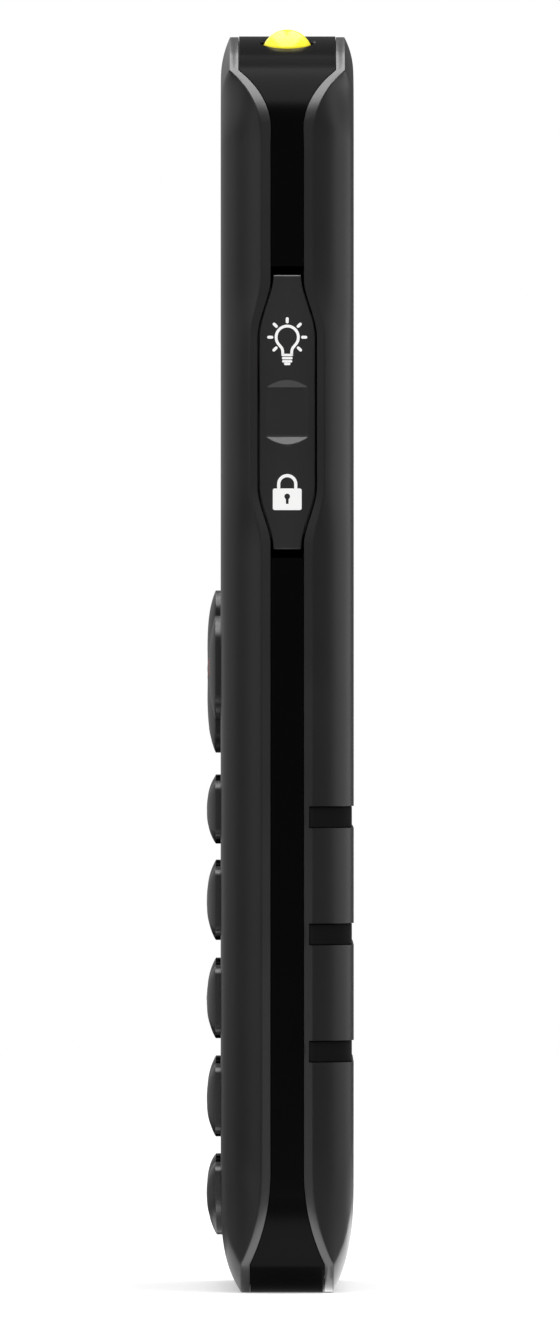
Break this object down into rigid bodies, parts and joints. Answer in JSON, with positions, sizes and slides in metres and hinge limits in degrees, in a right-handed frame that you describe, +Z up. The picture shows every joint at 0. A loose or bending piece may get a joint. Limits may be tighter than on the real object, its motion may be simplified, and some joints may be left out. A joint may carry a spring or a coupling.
{
  "type": "senior mobile phone",
  "caption": "Bar-shaped mobile phone with large domed keys, a torch in its top edge, a torch and keypad-lock slider on its side and a battery cover with rubber grip strips.",
  "frame": {"origin": "centre of the whole phone's box at its flat bottom end, on which it stands", "axes": "+Z up towards the torch end, -Y the way the keys and screen face, +X the phone's own left seen from its back, the side with the torch and lock slider"},
  "size_m": [0.0602, 0.016, 0.1366],
  "materials": {
    "shell_grey": "satin, fine moulded texture",
    "slider_grey": "satin",
    "band_black": "gloss",
    "grip_rubber": "matt",
    "key_grey": "satin",
    "emergency_red": "satin",
    "lens_yellow": "clear tinted, polished",
    "window_dark": "polished, printed black behind",
    "board_green": "solder mask",
    "mat_silicone": "matt",
    "sheet_white": "film",
    "steel": "plated",
    "contact_gold": "gold plated",
    "inner_black": "matt",
    "battery_grey": "wrapped label"
  },
  "bodies": {
    "phone_body": {"front_cover": "shell_grey", "frame": "band_black", "earpiece_mesh": "band_black", "torch_lens": "lens_yellow", "display_window": "window_dark", "main_board": "board_green", "keypad_mat": "mat_silicone", "dome_sheet": "sheet_white", "lcd_module": "steel", "shield_can": "steel", "sim_holder": "steel", "memory_card_holder": "steel", "usb_socket": "steel", "microphone": "steel", "vibration_motor": "steel", "slide_switch": "steel", "volume_switch_1": "steel", "volume_switch_2": "steel", "screw_1": "steel", "screw_2": "steel", "screw_3": "steel", "screw_4": "steel", "screw_5": "steel", "screw_6": "steel", "battery_contacts": "contact_gold", "antenna": "contact_gold", "earpiece": "inner_black", "loudspeaker": "inner_black", "sos_switch": "inner_black", "torch_led": "inner_black", "battery": "battery_grey"},
    "key_1": {"key_1": "key_grey"},
    "key_2": {"key_2": "key_grey"},
    "key_3": {"key_3": "key_grey"},
    "key_4": {"key_4": "key_grey"},
    "key_5": {"key_5": "key_grey"},
    "key_6": {"key_6": "key_grey"},
    "key_7": {"key_7": "key_grey"},
    "key_8": {"key_8": "key_grey"},
    "key_9": {"key_9": "key_grey"},
    "key_star": {"key_star": "key_grey"},
    "key_0": {"key_0": "key_grey"},
    "key_hash": {"key_hash": "key_grey"},
    "memory_key_1": {"memory_key_1": "key_grey"},
    "memory_key_2": {"memory_key_2": "key_grey"},
    "memory_key_3": {"memory_key_3": "key_grey"},
    "call_key": {"call_key": "key_grey"},
    "end_key": {"end_key": "key_grey"},
    "ok_key": {"ok_key": "key_grey"},
    "nav_ring": {"nav_ring": "key_grey"},
    "torch_lock_slider": {"torch_lock_slider": "slider_grey", "switch_lever": "steel"},
    "volume_rocker": {"volume_rocker": "slider_grey"},
    "sos_key": {"sos_key": "emergency_red"},
    "battery_cover": {"battery_cover": "shell_grey", "grip_strip_1": "grip_rubber", "grip_strip_2": "grip_rubber", "grip_strip_3": "grip_rubber"}
  },
  "joints": [
    {"name": "key_1_press", "type": "slide", "parent": "phone_body", "child": "key_1", "axis": [0, 1, 0], "range_m": [0, 0.00035], "stiffness_N_per_m": 800, "springref_m": -0.0005},
    {"name": "key_2_press", "type": "slide", "parent": "phone_body", "child": "key_2", "axis": [0, 1, 0], "range_m": [0, 0.00035], "stiffness_N_per_m": 800, "springref_m": -0.0005},
    {"name": "key_3_press", "type": "slide", "parent": "phone_body", "child": "key_3", "axis": [0, 1, 0], "range_m": [0, 0.00035], "stiffness_N_per_m": 800, "springref_m": -0.0005},
    {"name": "key_4_press", "type": "slide", "parent": "phone_body", "child": "key_4", "axis": [0, 1, 0], "range_m": [0, 0.00035], "stiffness_N_per_m": 800, "springref_m": -0.0005},
    {"name": "key_5_press", "type": "slide", "parent": "phone_body", "child": "key_5", "axis": [0, 1, 0], "range_m": [0, 0.00035], "stiffness_N_per_m": 800, "springref_m": -0.0005},
    {"name": "key_6_press", "type": "slide", "parent": "phone_body", "child": "key_6", "axis": [0, 1, 0], "range_m": [0, 0.00035], "stiffness_N_per_m": 800, "springref_m": -0.0005},
    {"name": "key_7_press", "type": "slide", "parent": "phone_body", "child": "key_7", "axis": [0, 1, 0], "range_m": [0, 0.00035], "stiffness_N_per_m": 800, "springref_m": -0.0005},
    {"name": "key_8_press", "type": "slide", "parent": "phone_body", "child": "key_8", "axis": [0, 1, 0], "range_m": [0, 0.00035], "stiffness_N_per_m": 800, "springref_m": -0.0005},
    {"name": "key_9_press", "type": "slide", "parent": "phone_body", "child": "key_9", "axis": [0, 1, 0], "range_m": [0, 0.00035], "stiffness_N_per_m": 800, "springref_m": -0.0005},
    {"name": "key_star_press", "type": "slide", "parent": "phone_body", "child": "key_star", "axis": [0, 1, 0], "range_m": [0, 0.00035], "stiffness_N_per_m": 800, "springref_m": -0.0005},
    {"name": "key_0_press", "type": "slide", "parent": "phone_body", "child": "key_0", "axis": [0, 1, 0], "range_m": [0, 0.00035], "stiffness_N_per_m": 800, "springref_m": -0.0005},
    {"name": "key_hash_press", "type": "slide", "parent": "phone_body", "child": "key_hash", "axis": [0, 1, 0], "range_m": [0, 0.00035], "stiffness_N_per_m": 800, "springref_m": -0.0005},
    {"name": "memory_key_1_press", "type": "slide", "parent": "phone_body", "child": "memory_key_1", "axis": [0, 1, 0], "range_m": [0, 0.00035], "stiffness_N_per_m": 800, "springref_m": -0.0005},
    {"name": "memory_key_2_press", "type": "slide", "parent": "phone_body", "child": "memory_key_2", "axis": [0, 1, 0], "range_m": [0, 0.00035], "stiffness_N_per_m": 800, "springref_m": -0.0005},
    {"name": "memory_key_3_press", "type": "slide", "parent": "phone_body", "child": "memory_key_3", "axis": [0, 1, 0], "range_m": [0, 0.00035], "stiffness_N_per_m": 800, "springref_m": -0.0005},
    {"name": "call_key_press", "type": "slide", "parent": "phone_body", "child": "call_key", "axis": [0, 1, 0], "range_m": [0, 0.00035], "stiffness_N_per_m": 800, "springref_m": -0.0005},
    {"name": "end_key_press", "type": "slide", "parent": "phone_body", "child": "end_key", "axis": [0, 1, 0], "range_m": [0, 0.00035], "stiffness_N_per_m": 800, "springref_m": -0.0005},
    {"name": "ok_key_press", "type": "slide", "parent": "phone_body", "child": "ok_key", "axis": [0, 1, 0], "range_m": [0, 0.00035], "stiffness_N_per_m": 800, "springref_m": -0.0005},
    {"name": "nav_ring_rock", "type": "hinge", "parent": "phone_body", "child": "nav_ring", "pos_m": [0, -0.0044, 0.0671], "axis": [1, 0, 0], "range_deg": [-1.5, 1.5], "stiffness_Nm_per_rad": 0.05},
    {"name": "torch_lock_slide", "type": "slide", "parent": "phone_body", "child": "torch_lock_slider", "axis": [0, 0, 1], "range_m": [-0.0007, 0.0007], "stiffness_N_per_m": 600},
    {"name": "volume_rock", "type": "hinge", "parent": "phone_body", "child": "volume_rocker", "pos_m": [-0.0291, 0.00075, 0.1], "axis": [0, 1, 0], "range_deg": [-1.5, 1.5], "stiffness_Nm_per_rad": 0.03},
    {"name": "sos_key_press", "type": "slide", "parent": "phone_body", "child": "sos_key", "axis": [0, -1, 0], "range_m": [0, 0.0003], "stiffness_N_per_m": 800, "springref_m": -0.0005},
    {"name": "battery_cover_lift", "type": "slide", "parent": "phone_body", "child": "battery_cover", "axis": [0, 1, 0], "range_m": [0, 0.025]}
  ]
}
